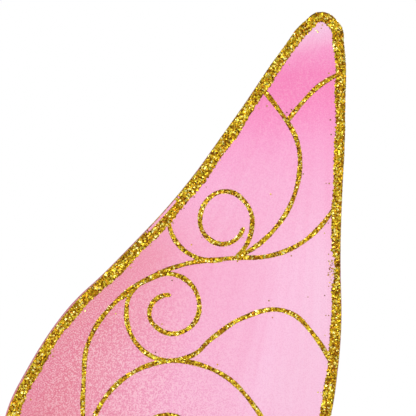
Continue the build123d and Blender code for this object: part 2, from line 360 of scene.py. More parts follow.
def nylon():
    """Airbrushed pink hosiery: rose at the root, paler outwards, pinker below the tip, finely speckled, with
    gold dust and painted shade on the rolled edge.
    """
    root, tip_x, tip_z = (0.030, 0.0, 0.060), 0.239, 0.366
    knit_slant = radians(34)
    n = Nodes("pink_nylon")
    place = n.place()
    split = n.add("SeparateXYZ")
    n.link(place, split.inputs[0])
    across = n.math("ABSOLUTE", split.outputs["X"])
    height = split.outputs["Z"]
    flat = n.add("CombineXYZ")
    n.link(across, flat.inputs["X"])
    n.link(n.math("ABSOLUTE", height), flat.inputs["Z"])
    flat = flat.outputs[0]
    cloud = n.times(n.math("SUBTRACT", n.noise(flat, 26.0, 3.0), 0.5), 0.022)
    from_root = n.math("ADD", n.vector_math("DISTANCE", flat, root), cloud)
    shade = ramp_node(n, from_root, 0.0, 0.26, cloth_colour, (
        (0.030, 224, 116, 134), (0.086, 233, 134, 151), (0.105, 239, 146, 164), (0.128, 245, 158, 182),
        (0.150, 252, 177, 208), (0.205, 252, 189, 222), (0.245, 255, 201, 230)))
    slanted = n.math("SUBTRACT", across, n.times(n.math("SUBTRACT", height, 0.135), 0.35))
    upper = ramp_node(n, n.math("ADD", slanted, cloud), 0.06, 0.23, cloth_colour, (
        (0.070, 233, 140, 158), (0.085, 236, 145, 163), (0.105, 242, 156, 180), (0.130, 249, 172, 202),
        (0.150, 251, 180, 213), (0.180, 252, 188, 220), (0.198, 254, 199, 229), (0.220, 252, 204, 230)))
    shade = n.mix(n.ramp(height, 0.085, 0.135), shade, upper)
    near_tip = ramp_node(n, n.math("ADD", height, cloud), 0.20, 0.37, cloth_colour, (
        (0.225, 252, 186, 219), (0.262, 252, 181, 218), (0.286, 252, 166, 211), (0.304, 252, 149, 201),
        (0.318, 250, 140, 194), (0.332, 248, 137, 192), (0.340, 249, 152, 202), (0.346, 250, 180, 216),
        (0.354, 248, 199, 229)))
    shade = n.mix(n.ramp(height, 0.212, 0.262), shade, near_tip)
    from_tip = n.math("ARCTAN2", n.math("SUBTRACT", height, tip_z), n.math("SUBTRACT", across, tip_x))
    fan = n.add("CombineXYZ")
    n.link(n.times(from_tip, 9.0), fan.inputs["X"])
    n.link(n.times(height, 2.0), fan.inputs["Y"])
    streak = n.ramp(n.noise(fan.outputs[0], 2.4, 4.0, 0.65), 0.38, 0.70)
    shade = n.mix(n.times(streak, 0.13), shade, cloth_colour(242, 122, 178))
    turned = n.add("Mapping")
    turned.inputs["Rotation"].default_value = (0.0, knit_slant, 0.0)
    n.link(place, turned.inputs["Vector"])
    wales = n.wave(turned.outputs["Vector"], "X", 430.0, 6.0)
    loops = n.noise(place, 1400.0, 0.0)
    grain = n.math("ADD", n.times(wales, 0.12), n.times(loops, 0.88))
    light = n.times(n.ramp(grain, 0.50, 0.64), n.ramp(from_root, 0.12, 0.21, 0.60, 0.18))
    dark = n.times(n.ramp(grain, 0.48, 0.36), n.ramp(from_root, 0.10, 0.21, 0.34, 0.10))
    light = n.times(light, n.ramp(from_root, 0.04, 0.11, 0.35, 1.0))
    shade = n.mix(light, shade, cloth_colour(255, 214, 222))
    shade = n.mix(dark, shade, cloth_colour(212, 100, 130))
    # Gold dust and painted shade on the rolled edge: where the surface turns sideways from the front, the
    # colour is darkened towards brownish rose.
    facing = n.add("SeparateXYZ")
    n.link(n.add("TexCoord").outputs["Normal"], facing.inputs[0])
    rolled = n.ramp(n.math("ABSOLUTE", facing.outputs["Y"]), 0.96, 0.4)
    rim_dust_and_painted_shade = n.times(rolled, n.ramp(n.noise(place, 900.0, 2.0), 0.3, 0.7, 0.5, 0.9))
    shade = n.mix(n.times(rim_dust_and_painted_shade, n.ramp(from_root, 0.05, 0.09)), shade, cloth_colour(158, 80, 62))
    n.bump(grain, 0.3, 0.00015)
    return n.set(Base_Color=shade, Roughness=0.78, Sheen_Weight=0.12, Sheen_Roughness=0.5,
                 Specular_IOR_Level=0.15)


def glitter():
    """Loose gold flakes: each cell has its own tilt and its own gold, from dark brown to pale yellow, which
    is partly the flakes' random tone and partly painted glints and dark reflections.
    """
    n = Nodes("gold_glitter")
    place = n.place()
    cells = n.add("TexVoronoi", feature="F1", distance="EUCLIDEAN")
    cells.inputs["Scale"].default_value = 1150.0
    n.link(place, cells.inputs["Vector"])
    split = n.add("SeparateColor")
    n.link(cells.outputs["Color"], split.inputs[0])
    # Flake colours: random tone, with painted glints at the pale yellow end and painted dark reflections at
    # the dark brown end.
    golds_and_painted_glints = ramp_node(n, split.outputs["Red"], 0.0, 1.0, colour, (
        (0.0, 104, 58, 0), (0.22, 150, 96, 2), (0.44, 176, 132, 8),
        (0.68, 206, 172, 26), (0.86, 232, 210, 66), (1.0, 254, 248, 170)))
    golds_and_painted_glints = n.mix(n.ramp(split.outputs["Green"], 0.25, 0.1), golds_and_painted_glints, (1.0, 0.80, 0.55, 1.0), "MULTIPLY")
    golds_and_painted_glints = n.mix(n.ramp(split.outputs["Green"], 0.68, 0.9), golds_and_painted_glints, (0.88, 1.0, 0.70, 1.0), "MULTIPLY")
    geometry = n.add("NewGeometry")
    tilt = n.vector_math("SUBTRACT", cells.outputs["Color"], (0.5, 0.5, 0.5))
    tilt = n.vector_math("MULTIPLY", tilt, (1.1, 1.1, 1.1))
    normal = n.vector_math("NORMALIZE", n.vector_math("ADD", geometry.outputs["Normal"], tilt))
    n.link(normal, n.shader.inputs["Normal"])
    return n.set(Base_Color=golds_and_painted_glints, Metallic=0.85, Roughness=0.30)


def satin():
    """Soft pink satin over wadding."""
    n = Nodes("pink_satin")
    place = n.place()
    weave = n.times(n.wave(place, "DIAGONAL", 1900.0, 0.5), n.noise(place, 1200.0, 1.0))
    soft = n.noise(place, 24.0, 3.0)
    shade = n.mix(n.ramp(soft, 0.3, 0.7), colour(222, 138, 176), colour(240, 166, 198))
    shade = n.mix(n.times(weave, 0.22), shade, colour(255, 214, 232))
    n.bump(n.math("ADD", weave, n.times(soft, 5.0)), 0.25, 0.0003)
    return n.set(Base_Color=shade, Roughness=0.38, Sheen_Weight=0.3, Sheen_Roughness=0.35)


def elastic():
    """Soft pink woven elastic. Its ribs are in the mesh."""
    n = Nodes("pink_elastic")
    place = n.place()
    picks = n.noise(place, 2600.0, 1.0)
    broad = n.noise(place, 120.0, 2.0)
    weave = n.math("ADD", n.times(picks, 0.7), n.times(broad, 0.3))
    shade = n.mix(n.ramp(weave, 0.3, 0.7), colour(218, 124, 160), colour(240, 158, 190))
    n.bump(picks, 0.5, 0.0002)
    return n.set(Base_Color=shade, Roughness=0.8, Sheen_Weight=0.3)


def thread(name, dark, light):
    """Twisted sewing thread."""
    n = Nodes(name)
    place = n.place()
    ply = n.wave(place, "DIAGONAL", 1500.0, 0.6)
    n.bump(ply, 0.6, 0.0001)
    return n.set(Base_Color=n.mix(ply, dark, light), Roughness=0.6)


def metal(name, dark, light, roughness):
    """Drawn or crimped metal with fine marks."""
    n = Nodes(name)
    place = n.place()
    marks = n.noise(place, 420.0, 5.0, 0.7)
    n.bump(marks, 0.25, 0.0001)
    return n.set(Base_Color=n.mix(marks, dark, light), Metallic=1.0, Roughness=roughness)


def plain_cloth(name, dark, light, scale):
    """Woven tape, label ribbon or board, from fine cells."""
    n = Nodes(name)
    place = n.place()
    weave = n.add("TexVoronoi", feature="F1")
    weave.inputs["Scale"].default_value = scale
    n.link(place, weave.inputs["Vector"])
    n.bump(weave.outputs["Distance"], 0.4, 0.0001)
    return n.set(Base_Color=n.mix(weave.outputs["Distance"], light, dark), Roughness=0.85)


NYLON = nylon()
GLITTER = glitter()
SATIN = satin()
ELASTIC = elastic()
THREAD = thread("pink_thread", colour(208, 110, 148), colour(238, 156, 188))
STEEL = metal("spring_steel", colour(120, 120, 124), colour(196, 196, 200), 0.32)
CRIMP = metal("crimp_aluminium", colour(150, 150, 152), colour(214, 214, 216), 0.42)
TAPE = plain_cloth("cloth_tape", colour(198, 194, 184), colour(236, 232, 224), 1300.0)
BOARD = plain_cloth("grey_board", colour(112, 108, 102), colour(160, 156, 148), 700.0)
LABEL = plain_cloth("label_satin", colour(226, 226, 228), colour(250, 250, 250), 1700.0)

# ---- the stretched sleeves

LOOP_ROWS = 200
LOOP_COLUMNS = 72
RIM_STEPS = 8
PLEATS = 19
NECK_END = 9.0
WIRE_SAMPLES, WIRE_GROUPS = 480, 24
RAIL_SAMPLES = 2400
RIM_MARGIN, RIM_FADE = 3, 20
LEVEL_DIP, DEEPEST_DIP = 0.2, 0.95
# Graphs: distances out from the hinge line, then the value at each.
RIM_RADII = ([-5, 0, 2.5, 4, 5.5, 9, 16], [1.9, 2.1, 2.0, 1.6, 1.95, 1.8, RIM_RADIUS])
PLEAT_DEPTHS = ([-5, 2.5, 4, 5.5, 12, 22, 40], [0.26, 0.28, 0.12, 0.28, 0.32, 0.14, 0.0])
GATHERING = ([0, 8, 24], [1, 0.9, 0])
# The columns beside a wire: the distance from it, and the most share of the width that may be.
NEAR_WIRE = ((0.5, 0.08), (1.0, 0.16), (2.2, 0.24))


def leaf_relief(wing, points):
    """How far each layer of the sleeve is drawn in at some points, in millimetres."""
    stations, _ = resampled(hoop_stations(wing, 2.0), WIRE_SAMPLES)
    spots = np.asarray(points, float)
    edge = np.full(len(spots), 1e9)
    for part in np.array_split(stations, WIRE_GROUPS):
        gap = np.linalg.norm(spots[:, None, :] - part[None, :, :], axis=2).min(axis=1)
        edge = np.minimum(edge, gap)
    inside = np.clip((edge - RIM_MARGIN) / RIM_FADE, 0, 1)
    inside = inside * inside * (3 - 2 * inside)
    tip = np.array(WINGS[wing]["outline"][WINGS[wing]["tip"]])
    root = np.array((HINGE_X, WINGS[wing]["height"] * ROOT_HEIGHT))
    relief = np.full(len(spots), LEVEL_DIP)
    for source, reach, rates in ((tip, 150, (11, 23, 41)), (root, 110, (17, 29, 53))):
        away = spots - source
        angle = np.arctan2(away[:, 1], away[:, 0])
        far = np.linalg.norm(away, axis=1)
        folds = sum(np.sin(angle * rate + rate) / (order + 1.5) for order, rate in enumerate(rates))
        relief += LEVEL_DIP * np.exp(-far / reach) * (1 + folds)
    return np.clip(relief * inside, 0, DEEPEST_DIP)


def rails(wing, shares):
    """The two wires from the root to the tip at the same shares of their length, and their outward sides."""
    shape = WINGS[wing]
    ends = ((0, shape["tip"]), (shape["tip"], len(shape["outline"]) - 1))
    found = []
    for side, span in enumerate(ends):
        places, ways = resampled(hoop_stations(wing, 0.5, span), RAIL_SAMPLES)
        if side:
            places, ways = places[::-1], ways[::-1]
        at = np.asarray(shares) * (len(places) - 1)
        outward = np.stack([-ways[:, 1], ways[:, 0]], axis=1)
        index = np.arange(len(places))
        found.append([read_off(at, index, track) for track in (places, outward)])
    return found


def sleeve_loop(left, right, out_left, out_right, along, dips):
    """One closed loop of the sleeve round both wires; along is the distance out from the hinge line."""
    graphs = (RIM_RADII, PLEAT_DEPTHS, GATHERING)
    radius, pleat, gathered = (float(np.interp(along, *graph)) for graph in graphs)
    span = right - left
    width = float(np.linalg.norm(span))
    across = span / max(width, 1e-6)
    front = []
    for share, dip in zip(cross_shares(left, right), dips):
        near = min(share, 1 - share) * width
        rise = max(SLEEVE_HALF - dip, sqrt(max(RIM_RADIUS**2 - near**2, 0)))
        front.append((share * width, rise + (radius - rise) * gathered))
    turns = [pi * step / RIM_STEPS for step in range(1, RIM_STEPS)]
    section = front + [(width + radius * sin(turn), radius * cos(turn)) for turn in turns]
    section += [(reach, -rise) for reach, rise in front[::-1]]
    section += [(-radius * sin(turn), -radius * cos(turn)) for turn in turns]
    section = np.array(section + section[:1])
    length = distances(section)
    even = np.linspace(0, 1, len(section))
    wanted = (length / length[-1]) * (1 - gathered) + even * gathered
    reach, rise = read_off(wanted, length / length[-1], section).T
    way = np.stack([np.gradient(reach), np.gradient(rise)])
    way /= np.maximum(np.linalg.norm(way, axis=0), 1e-9)
    rim = np.clip(np.minimum(reach, width - reach) / 4, 0, 1)
    fold = pleat * np.cos(even * 2 * pi * PLEATS) * (gathered + (1 - gathered) * rim)
    reach, rise = reach - way[1] * fold, rise + way[0] * fold
    points = []
    for distance, height in zip(reach[:-1], rise[:-1]):
        if distance > width:
            place = right + out_right * (distance - width)
        elif distance < 0:
            place = left - out_left * distance
        else:
            place = left + across * distance
        points.append((place[0], WING_Y - height, place[1]))
    return points


def cross_shares(left, right):
    """Shares of the way across a wing, closer together beside the wires."""
    width = max(float(np.linalg.norm(right - left)), 1e-6)
    close = [min(reach / width, limit) for reach, limit in NEAR_WIRE]
    middle = np.linspace(close[-1], 1 - close[-1], LOOP_COLUMNS - 6)
    return [0.0] + close[:-1] + list(middle) + [1 - share for share in close[-2::-1]] + [1.0]


def sleeve_rows(wing):
    """Every loop of a wing's sleeve from the hinge line to the tip, with its distance along the wires."""
    steps = np.linspace(0, 1, LOOP_ROWS)
    shares = 0.6 * steps + 0.4 * (1 - np.cos(pi * steps)) / 2
    (left, out_left), (right, out_right) = rails(wing, shares)
    length = sum(np.linalg.norm(b - a) for a, b in zip(left, left[1:]))
    spots = [l + (r - l) * share for l, r in zip(left, right) for share in cross_shares(l, r)]
    dips = leaf_relief(wing, spots).reshape(LOOP_ROWS, -1)
    return [
        (share * length, (l, r, out_l, out_r), dip)
        for share, l, r, out_l, out_r, dip in zip(shares, left, right, out_left, out_right, dips)
    ]


def make_sleeve(wing, rows, side, name):
    """The part of the sleeve that rides on the wing."""
    points = []
    kept = [row for row in rows if row[0] >= NECK_END]
    for along, ends, dips in kept:
        points += sleeve_loop(*ends, along, dips)
    size = len(points) // len(kept)
    return new_object(name, mirrored(side, points), loop_faces(len(kept), size), NYLON)


def make_neck(wing, rows, side, name):
    """The gathered end of the sleeve, from the panel's edge across the hinge line."""
    height = WINGS[wing]["height"]
    first, last = WINGS[wing]["outline"][0], WINGS[wing]["outline"][-1]
    points, count = [], 0
    for x in np.arange(NECK_START_X, HINGE_X - 0.2, 0.4):
        ends = (np.array((x, first[1])), np.array((x, last[1])), np.array((0.0, 1.0)), np.array((0.0, -1.0)))
        points += sleeve_loop(*ends, x - HINGE_X, np.zeros(LOOP_COLUMNS))
        count += 1
    kept = [row for row in rows if row[0] < NECK_END] + [next(row for row in rows if row[0] >= NECK_END)]
    for (along, ends, dips), (_, next_ends, _) in zip(kept, kept[1:]):
        for part in (0.0, 0.33, 0.67):
            between = [a + (b - a) * part for a, b in zip(ends, next_ends)]
            points += sleeve_loop(*between, along + part * (kept[1][0] - kept[0][0]), dips)
            count += 1
    along, ends, dips = kept[-1]
    points += sleeve_loop(*ends, along, dips)
    count += 1
    size = len(points) // count
    return new_object(name, mirrored(side, points), loop_faces(count, size), NYLON)


# ---- glitter

FLAKE_PLAY = 0.24
FLAKE_CORNERS = 6
WORN_MIDDLE, WORN_REACH, WORN_DEPTH = 210.0, 10.0, 2.1
WORN_FLAKES = 30
FROM_BAND, FROM_SCROLL = 6.2, 2.0
SET_FLAKES = [(205.2, 308.4), (229.8, 193.8), (206.4, 191.6), (175.5, 153.2), (142.2, 177.5), (207.5, 255.5)]
BAND_TAPER = 16.0
BAND_END_REACH, BAND_END_ANGLE = 1.9, 70
BAND_COLUMNS = 13
BAND_LIFT, BORDER_LIFT, SPLIT_LIFT = 0.3, 0.03, -0.35
SPLIT_SPAN = (-170.0, -143.0)
# Graphs: distances along the band past the wing tip, then the value at each.
OUTER_ANGLES = ([-330, -200, -130, -85, -45, 30, 70, 160], [116, 126, 138, 150, 172, 172, 158, 150])
WIDENING = ([-335, -290, -250, -215, -180, -95, -60, 40, 70, 170, 215],
            [1.6, 0.9, 0.1, 0.3, 0.8, 0.6, -0.5, -0.4, -0.9, -0.9, 0])
SCROLL_OFFSETS = (-1.0, -0.62, 0.0, 0.62, 1.0)
TRIM_SAMPLES = 600


def facets(piece, method):
    """Split a ribbon's faces into triangles, so that each catches the light by itself."""
    build = bmesh.new()
    build.from_mesh(piece.data)
    bmesh.ops.triangulate(build, faces=build.faces, quad_method=method)
    build.to_mesh(piece.data)
    build.free()
    return piece


def ribbon_faces(rows, columns):
    """Faces of a closed ribbon: its top in rows of columns, and a strip underneath between its borders."""
    faces = []
    for row in range(rows - 1):
        base, above = row * columns, (row + 1) * columns
        for index in range(columns - 1):
            faces.append((base + index, base + index + 1, above + index + 1, above + index))
        faces.append((base + columns - 1, base, above, above + columns - 1))
    faces.append(tuple(range(columns))[::-1])
    faces.append(tuple(range((rows - 1) * columns, rows * columns)))
    return faces


def make_glitter_edge(wing, side, name, rng):
    """The band of flakes over the rim and along the inside of it."""
    shape = WINGS[wing]
    stations = hoop_stations(wing, GLITTER_STEP, shape["band"])
    tip_station = len(hoop_stations(wing, GLITTER_STEP, (shape["band"][0], shape["tip"])))
    rows = []
    for number, (place, way) in enumerate(stations):
        inward = Vector((way.y, -way.x))
        beyond = (number - tip_station) * GLITTER_STEP
        past_tip = 1 / (1 + exp(-beyond / 20))
        outer = float(np.interp(beyond, *OUTER_ANGLES))
        outer += 9 * sin(number * 0.021 + 1) + 6 * sin(number * 0.083) + rng.uniform(-8, 8)
        reach = GLITTER_BAND + 0.35 * sin(number * 0.13) + rng.uniform(-0.45, 0.45)
        split = False
        if wing == "upper":
            reach += float(np.interp(beyond, *WIDENING)) * rng.uniform(0.6, 1.4)
            split = side > 0 and SPLIT_SPAN[0] < beyond + rng.uniform(-2, 2) < SPLIT_SPAN[1]
        if wing == "upper" and side > 0 and past_tip > 0.9:
            worn = WORN_DEPTH * exp(-((place.y - WORN_MIDDLE) / WORN_REACH) ** 6)
            reach -= worn * rng.uniform(0.6, 1.3)
        end = min(number, len(stations) - 1 - number) * GLITTER_STEP
        if end < BAND_TAPER:
            fade = sqrt(end / BAND_TAPER)
            reach = BAND_END_REACH + (reach - BAND_END_REACH) * fade
            outer = BAND_END_ANGLE + (outer - BAND_END_ANGLE) * fade
        section = [(angle, None) for angle in np.linspace(max(outer, 150 if split else 0), 60, 6)]
        section += [(None, u) for u in np.linspace(1.5, reach, BAND_COLUMNS - len(section))]
        for index, (angle, u) in enumerate(section):
            border = index in (0, len(section) - 1)
            lift = BORDER_LIFT if border else BAND_LIFT + rng.uniform(-0.14, 0.16)
            if angle is None:
                v = SLEEVE_HALF + lift
                u += 0 if border else rng.uniform(-FLAKE_PLAY, FLAKE_PLAY)
            else:
                turn = radians(angle)
                lift = SPLIT_LIFT if split and index in (2, 3, 4) else lift
                u, v = (RIM_RADIUS + lift) * cos(turn), (RIM_RADIUS + lift) * sin(turn)
            spot = place + inward * u + way * rng.uniform(-FLAKE_PLAY, FLAKE_PLAY)
            rows.append((spot.x, WING_Y - v, spot.y))
    faces = ribbon_faces(len(stations), BAND_COLUMNS)
    return facets(new_object(name, mirrored(side, rows), faces, GLITTER, False), "ALTERNATE")


def trimmed(wing, stations):
    """A scroll line without what lies beyond the middle of the glitter band at either end."""
    places, ways = resampled(hoop_stations(wing, 2.0), TRIM_SAMPLES)

    def inside(place):
        gap = np.array(tuple(place)) - places
        nearest = int(np.argmin(np.linalg.norm(gap, axis=1)))
        inward = (ways[nearest][1], -ways[nearest][0])
        return gap[nearest][0] * inward[0] + gap[nearest][1] * inward[1] > GLITTER_BAND / 2

    kept = [number for number, (place, _) in enumerate(stations) if inside(place)]
    return stations[kept[0]:kept[-1] + 1]


def make_glitter_scrolls(wing, side, name, rng):
    """The scroll lines, each a low ridge of flakes lying on the front layer."""
    points, faces, spots = [], [], []
    for outline in WINGS[wing]["scrolls"].values():
        stations = trimmed(wing, flowing_line(outline, GLITTER_STEP))
        start = len(points)
        for number, (place, way) in enumerate(stations):
            across = Vector((way.y, -way.x))
            half = SCROLL_WIDTH / 2 * (1 + 0.1 * sin(number * 0.19 + start))
            taper = min(1.0, 0.45 + number / 4, 0.45 + (len(stations) - 1 - number) / 4)
            for offset in SCROLL_OFFSETS:
                border = abs(offset) == 1.0
                play = rng.uniform(-0.3, 0.22) if border else rng.uniform(-FLAKE_PLAY, FLAKE_PLAY)
                sideways = offset * half * taper + (copysign(play, offset) if border else play)
                spot = place + across * sideways + way * rng.uniform(-FLAKE_PLAY, FLAKE_PLAY)
                lift = -0.02 if border else 0.26 + 0.12 * (1 - abs(offset)) + rng.uniform(-0.12, 0.12)
                spots.append((spot.x, spot.y))
                points.append((spot.x, SLEEVE_HALF + lift, spot.y))
        faces += shifted(ribbon_faces(len(stations), len(SCROLL_OFFSETS)), start)
    dips = leaf_relief(wing, spots)
    placed = [(x, WING_Y - (rise - dip), z) for (x, rise, z), dip in zip(points, dips)]
    return facets(new_object(name, mirrored(side, placed), faces, GLITTER, False), "BEAUTY")


def make_stray_flakes(wing, side, name, rng):
    """Single flakes that have come loose and stuck to the knit beside the lines."""
    lines = [hoop_stations(wing, 3.0, WINGS[wing]["band"])]
    lines += [trimmed(wing, flowing_line(outline, 3.0)) for outline in WINGS[wing]["scrolls"].values()]
    spots = []
    for order, line in enumerate(lines):
        for _ in range(max(2, len(line) // (6 if order == 0 else 16))):
            place, way = line[rng.randrange(len(line))]
            inward = Vector((way.y, -way.x))
            if order == 0:
                far = FROM_BAND + abs(rng.gauss(0, 1.6))
            else:
                far = rng.choice((-1, 1)) * (FROM_SCROLL + abs(rng.gauss(0, 1.5)))
            spots.append(tuple(place + inward * far))
    if wing == "upper":
        spots += SET_FLAKES
        worn = [place.x for place, _ in lines[0] if abs(place.y - WORN_MIDDLE) < WORN_REACH and place.x > 200]
        for _ in range(WORN_FLAKES if side > 0 else 0):
            x = sum(worn) / len(worn) - rng.uniform(3.2, 6.3)
            spots.append((x, WORN_MIDDLE + rng.uniform(-1, 1) * WORN_REACH))
    dips = leaf_relief(wing, spots)
    points, faces = [], []
    for (x, z), dip in zip(spots, dips):
        turn, size, base = rng.uniform(0, 1), rng.uniform(0.28, 0.52), len(points)
        for rise in (-0.02, 0.16):
            for corner in range(FLAKE_CORNERS):
                angle = 2 * pi / FLAKE_CORNERS * (corner + turn)
                lean = 0.05 * cos(angle + 7 * turn)
                points.append((x + size * cos(angle), WING_Y - (SLEEVE_HALF - dip + rise + lean),
                               z + size * sin(angle)))
        faces += shifted(loop_faces(2, FLAKE_CORNERS), base)
    return new_object(name, mirrored(side, points), faces, GLITTER, False)


# ---- the thread round each neck

TIE_START, TIE_SPAN, TIE_HEIGHT = 38.15, 1.75, 19.1
TIE_HALF_Y, TIE_HALF_Z, TIE_RADIUS = 2.0, 3.9, 0.3
TIE_TURNS, TIE_STEPS, TIE_SWELL = 5, 28, 0.06


def tube(path, radius, sides=8):
    """Points and faces of a closed tube along a list of points, in millimetres."""
    path = [Vector(point) for point in path]
    points = []
    across = None
    for index, here in enumerate(path):
        before, after = path[max(index - 1, 0)], path[min(index + 1, len(path) - 1)]
        way = (after - before).normalized()
        if across is None:
            across = way.orthogonal().normalized()
        across = (across - way * across.dot(way)).normalized()
        beside = way.cross(across)
        for side in range(sides):
            turn = 2 * pi * side / sides
            points.append(tuple(here + (across * cos(turn) + beside * sin(turn)) * radius))
    return points, loop_faces(len(path), sides)


def make_neck_tie(wing, side, name):
    """Thread wound round the gathered neck."""
    centre = WINGS[wing]["height"] * TIE_HEIGHT
    path = []
    for step in range(TIE_TURNS * TIE_STEPS + 1):
        turn = 2 * pi * step / TIE_STEPS
        x = TIE_START + TIE_SPAN * step / (TIE_TURNS * TIE_STEPS)
        swell = TIE_SWELL * sin(step * 0.7)
        y = WING_Y + (TIE_HALF_Y + swell) * cos(turn)
        path.append((x, y, centre + (TIE_HALF_Z + swell) * sin(turn)))
    points, faces = tube(path, TIE_RADIUS)
    return new_object(name, mirrored(side, points), faces, THREAD)


# ---- one wing

for wing in WINGS:
    rows = sleeve_rows(wing)
    for side, side_name in SIDES:
        node = f"{wing}_{side_name}"
        body = f"{node}_wing"
        rng = random.Random(f"{node} flakes")

        sleeve = make_sleeve(wing, rows, side, f"{node}_nylon_sleeve")
        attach(sleeve, body)
        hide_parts(f"{node}_sleeve")

        neck = make_neck(wing, rows, side, f"{node}_gathered_neck")
        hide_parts(f"{node}_gather")
        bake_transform(neck)

        tie = make_neck_tie(wing, side, f"{node}_wound_thread")
        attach(tie, body)
        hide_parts(f"{node}_neck_tie")

        for make, part in ((make_glitter_edge, "glitter_edge"), (make_glitter_scrolls, "glitter_scrolls")):
            trim = make(wing, side, f"{node}_{part}_flakes", rng)
            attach(trim, body)
            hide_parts(f"{node}_{part}")

        strays = make_stray_flakes(wing, side, f"{node}_stray_flakes", rng)
        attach(strays, body)

# ---- the padded panel

PANEL_HALF = (30.0, 52.0)
PANEL_CORNER = 10.0
SPINE = PANEL_HALF[1] - PANEL_HALF[0]
RING_POINTS = 224
SEAM_INSET = 3.2
STITCH_PITCH = 4.0
TACK_PLACE = (16.0, 43.0)
TACK_HALF = (3.2, 1.8)
TACK_REACH, TACK_HEIGHT = 3.4, 8.9
CROWN_INSETS = (1.4, 2.4, SEAM_INSET, 4.2, 7, 12, 20, 30)
CROWN_HEIGHTS = (8.7, 9.1, 8.92, 9.35, 10.2, 11, 11.5, 11.7)
BACK_PUCKERS = 68


def panel_ring(inset):
    """Points round the panel's outline, drawn in by an inset towards its upright centre line."""
    straight_x, straight_z = PANEL_HALF[0] - PANEL_CORNER, PANEL_HALF[1] - PANEL_CORNER
    quarter = pi * PANEL_CORNER / 2
    total = 4 * (straight_x + straight_z + quarter)
    points = []
    for step in range(RING_POINTS):
        along = (step / RING_POINTS * total + straight_z) % total
        turns, along = divmod(along, total / 2)
        if along < 2 * straight_z:
            x, z, out = PANEL_HALF[0], along - straight_z, (1.0, 0.0)
        elif along < 2 * straight_z + quarter:
            turn = (along - 2 * straight_z) / PANEL_CORNER
            out = (cos(turn), sin(turn))
            x, z = straight_x + PANEL_CORNER * out[0], straight_z + PANEL_CORNER * out[1]
        elif along < 2 * straight_z + quarter + 2 * straight_x:
            x, z, out = straight_x - (along - 2 * straight_z - quarter), PANEL_HALF[1], (0.0, 1.0)
        else:
            turn = pi / 2 + (along - 2 * straight_z - quarter - 2 * straight_x) / PANEL_CORNER
            out = (cos(turn), sin(turn))
            x, z = -straight_x + PANEL_CORNER * out[0], straight_z + PANEL_CORNER * out[1]
        if turns:
            x, z, out = -x, -z, (-out[0], -out[1])
        fixed = min(inset, PANEL_CORNER - 1)
        x, z = x - out[0] * fixed, z - out[1] * fixed
        share = max(0.0, (inset - fixed) / (PANEL_HALF[0] - fixed))
        spine_z = max(-SPINE, min(SPINE, z))
        points.append((x * (1 - share), z + (spine_z - z) * share))
    return points


def pad_from_rings(name, rings, material):
    """A closed pad: each ring is an inset and a rule for y from the ring's points."""
    points = []
    for inset, depth in rings:
        for index, (x, z) in enumerate(panel_ring(inset)):
            points.append((x, depth(x, z, inset, index) if callable(depth) else depth, z))
    return new_object(name, points, loop_faces(len(rings), RING_POINTS, False), material)


def cover_crown(x, z, inset, index):
    """The front cover's puffed face: low at the seam, puckered by stitches and pulled in at the tacks."""
    rise = float(np.interp(inset, CROWN_INSETS, CROWN_HEIGHTS))
    fade = exp(-(inset - SEAM_INSET) / 3.0) if inset > SEAM_INSET else 0.6
    straight = PANEL_HALF[0] + PANEL_HALF[1] - 2 * PANEL_CORNER
    length = 2 * pi * (PANEL_CORNER - SEAM_INSET) + 4 * straight
    stitches = round(length / STITCH_PITCH)
    rise += 0.13 * fade * cos(2 * pi * stitches * index / RING_POINTS)
    rise += 0.12 * min(1.0, max(0.0, inset - 4) / 8) * sin(0.31 * x + 0.17 * z + 2 * sin(0.11 * z))
    beside = max(0.0, abs(abs(x) - TACK_PLACE[0]) - TACK_HALF[0])
    above = max(0.0, abs(abs(z) - TACK_PLACE[1]) - TACK_HALF[1])
    pull = exp(-(hypot(beside, above) / TACK_REACH) ** 2)
    return -(rise + (TACK_HEIGHT - rise) * pull)


def back_softness(x, z, inset, index):
    """The back cover's rear face, which lies flat against the wearer, with the seam's slight pucker."""
    return -0.05 * exp(-inset / 2) * (1 + cos(index * 2 * pi * BACK_PUCKERS / RING_POINTS))


FRONT_EDGE = [(30.0, -7.05), (18.0, -7.05), (2.6, -7.05), (2.6, -2.1), (0.6, -2.1), (0.15, -2.5),
              (-0.25, -3.6), (-0.35, -5.0), (-0.15, -6.4), (0.25, -7.6), (0.8, -8.3)]
FRONT_INSETS = (1.4, 2.0, 2.6, 3.2, 3.7, 4.3, 5, 6, 7, 8, 9, 10.5, 12, 14, 16, 18.5, 21, 24, 27, 30)
BACK_EDGE = [(30.0, -2.0), (15.0, -2.0), (1.2, -2.0), (0.5, -1.9), (0.1, -1.4), (0.15, -0.8), (0.6, -0.3),
             (1.3, -0.06)]
BACK_INSETS = (2.0, 3.2, 5, 8, 12, 18, 24, 30)

front_rings = FRONT_EDGE + [(inset, cover_crown) for inset in FRONT_INSETS]
front_pad = pad_from_rings("front_cover_padding", front_rings, SATIN)
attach(front_pad, "panel")
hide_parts("front_cover")

back_rings = BACK_EDGE + [(inset, back_softness) for inset in BACK_INSETS]
back_pad = pad_from_rings("back_cover_padding", back_rings, SATIN)
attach(back_pad, "panel")
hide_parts("back_cover")

# ---- the care label

LABEL_TOP, LABEL_BOTTOM, LABEL_HALF, LABEL_Y = -49.8, -70.0, 7.0, -2.2
LABEL_ROWS, LABEL_COLUMNS = 31, 15
LABEL_THICK, LABEL_CURL, LABEL_BOW = 0.28, 1.5, 0.5


